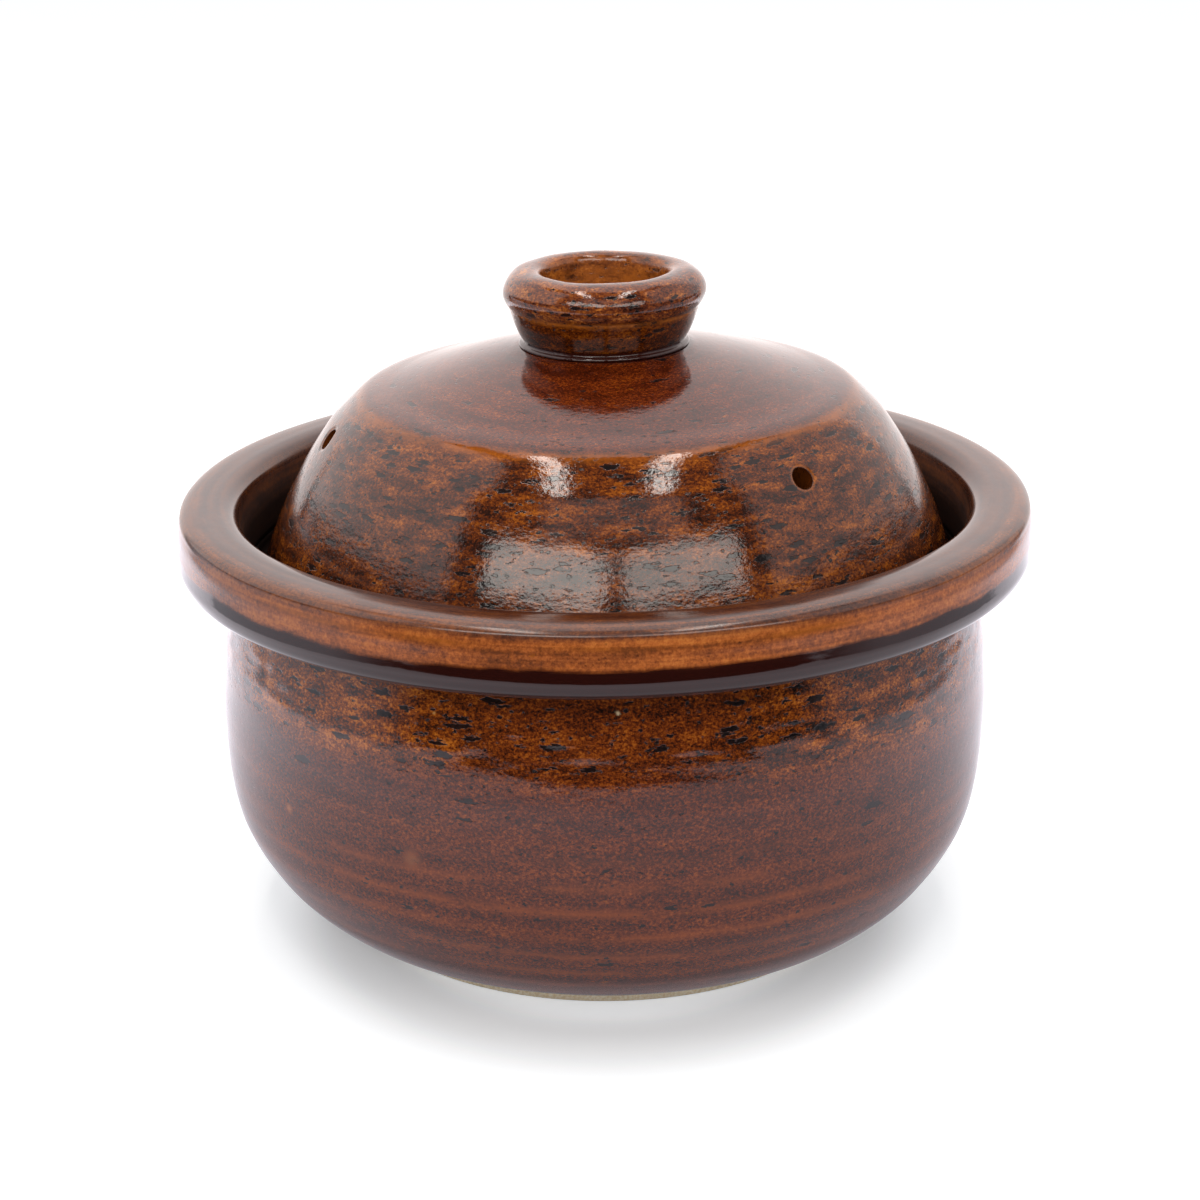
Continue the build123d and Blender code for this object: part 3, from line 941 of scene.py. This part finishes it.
dip = addNode(tree, "Math", {"operation": "MULTIPLY"}, {0: dip[0], 1: dip[1]})
dip = addNode(tree, "Math", {"operation": "MULTIPLY_ADD"}, {
    0: dip, 1: -studio["floorDip"], 2: studio["floorGlow"]})
seen = addNode(tree, "Math", {"operation": "ADD"}, {
    0: paths["Is Camera Ray"], 1: paths["Is Transmission Ray"]})
seen = addNode(tree, "Math", {"operation": "MULTIPLY"}, {0: seen, 1: dip})
glow = addNode(tree, "Emission", {}, {"Color": studio["glowColor"], "Strength": seen})
matt = addNode(tree, "BsdfDiffuse", {}, {"Color": hexColor(studio["floorColor"])})
both = addNode(tree, "AddShader", {}, {0: matt, 1: glow})
# the paper as the glaze reflects it: pure glow, dimmer near the pot as painted shadow
away = addNode(tree, "VectorMath", {"operation": "LENGTH"}, {0: onPaper}, "Value")
away = addNode(tree, "Math", {"operation": "MULTIPLY"}, {0: away, 1: 1 / studio["rampReach"]})
fade = addNode(tree, "ValToRGB", {}, {"Fac": away}, None)
while len(fade.color_ramp.elements) < len(studio["floorInGlaze"]):
    fade.color_ramp.elements.new(0.5)
for element, (reach, radiance) in zip(fade.color_ramp.elements, studio["floorInGlaze"]):
    grey = radiance / studio["rampPeak"]
    element.position = reach / studio["rampReach"]
    element.color = (grey, grey, grey, 1)
strength = addNode(tree, "Math", {"operation": "MULTIPLY"}, {
    0: fade.outputs["Color"], 1: studio["rampPeak"]})
tilt = addNode(tree, "VectorMath", {"operation": "DOT_PRODUCT"}, {
    0: onPaper, 1: studio["floorTilt"]}, "Value")
tilt = addNode(tree, "Math", {"operation": "ADD"}, {0: tilt, 1: studio["tiltMiddle"]})
tilt = addNode(tree, "Clamp", {}, {0: tilt, 1: studio["tiltLeast"], 2: studio["tiltMost"]})
strength = addNode(tree, "Math", {"operation": "MULTIPLY"}, {0: strength, 1: tilt})
mirrored = addNode(tree, "Emission", {}, {"Color": hexColor(studio["floorTint"]), "Strength": strength})
paper = addNode(tree, "MixShader", {}, {0: paths["Is Glossy Ray"], 1: both, 2: mirrored})
addNode(tree, "OutputMaterial", {}, {"Surface": paper}, None)
floorMesh.materials.append(material)

world = bpy.data.worlds.new("softStudio")
bpy.context.scene.world = world
world.use_nodes = True
tree = world.node_tree
tree.nodes.clear()
paths = addNode(tree, "LightPath", output=None).outputs
shown = addNode(tree, "Mix", {"data_type": "FLOAT"}, {
    "Factor": paths["Is Camera Ray"], "A": studio["skyOnClay"], "B": 1.0}, "Result")
shown = addNode(tree, "Mix", {"data_type": "FLOAT"}, {
    "Factor": paths["Is Glossy Ray"], "A": shown, "B": studio["roomInGlaze"]}, "Result")
back = addNode(tree, "Background", {}, {"Color": (1, 1, 1, 1), "Strength": shown})
addNode(tree, "OutputWorld", {}, {"Surface": back}, None)


lidMiddle = (0, 0, 0.12)


def skyPoint(azimuth, elevation, distance):
    # a point seen from the lid, azimuth in degrees from the front towards the right
    turn, rise = math.radians(azimuth), math.radians(elevation)
    way = Vector((math.sin(turn) * math.cos(rise), -math.cos(turn) * math.cos(rise), math.sin(rise)))
    return Vector(lidMiddle) + way * distance


left, right, front, rear = (studio[key] for key in ("paperLeft", "paperRight", "paperFront", "paperBack"))
middle, depth = (front + rear) / 2, rear - front
across, span = (left + right) / 2, right - left
# each by its width and height in m, its radiance, its place and what it faces
softbox("softboxLeft", 0.76, 0.26, 5.2, skyPoint(-23.5, 32, 1.1), lidMiddle)
softbox("softboxRight", 0.76, 0.26, 4.1, skyPoint(27, 32, 1.1), lidMiddle)
softbox("stripLeft", 0.09, 1.15, 12.0, (-0.29, 0.05, 1.15), (-0.29, 0.05, 0))
softbox("stripRight", 0.09, 1.15, 12.0, (0.26, 0.08, 1.15), (0.26, 0.08, 0))
panel("roomFront", span, 0.24, 0.03, (across, front, 0.12), (across, 0, 0.12))
for name, side, shine in (("tableLeft", left, 1.0), ("tableRight", right, 0.7)):
    panel(name, depth, 0.14, shine, (side, middle, 0.07), (0, middle, 0.07), soft=(0.6, 0),
          tint=studio["tableTint"])
panel("paperSweep", span, 0.95, 1.5, (across, rear, 0.475), (across, 0, 0.475))
panel("paperOver", span, 0.5, 1.6, (across, rear - 0.12, 1.1), (0, 0, 0.12))
panel("bounceLeft", 1.25, 1.15, 1.45, (-0.70, 0.23, 0.80), (0, 0.23, 0.80), math.radians(14), (0.12, 0.12))
panel("bounceRight", 1.25, 1.15, 0.95, (0.70, 0.23, 0.80), (0, 0.23, 0.80), math.radians(-14), (0.12, 0.12))
panel("diffuserFront", 1.0, 0.34, 0.9, skyPoint(1.5, 51, 1.05), lidMiddle, soft=(0.3, 0.5))

# camera, fitted to the ellipses of the rim and the foot

view = {
    "sensor": 36,
    "focalLength": 2747.3,   # in pixels of the photo
    "photoWidth": 1200,
    "place": (-1.1, -715.1, 338.3),
    "pitch": 0.338,          # downwards, radians
}

cameraData = bpy.data.cameras.new("camera")
cameraData.sensor_width = view["sensor"]
cameraData.lens = view["focalLength"] / view["photoWidth"] * view["sensor"]
camera = bpy.data.objects.new("camera", cameraData)
camera.location = [part * mm for part in view["place"]]
camera.rotation_euler = (math.pi / 2 - view["pitch"], 0, 0)
bpy.context.scene.collection.objects.link(camera)
bpy.context.scene.camera = camera
bpy.context.scene.view_settings.view_transform = "Standard"
print("studio set")
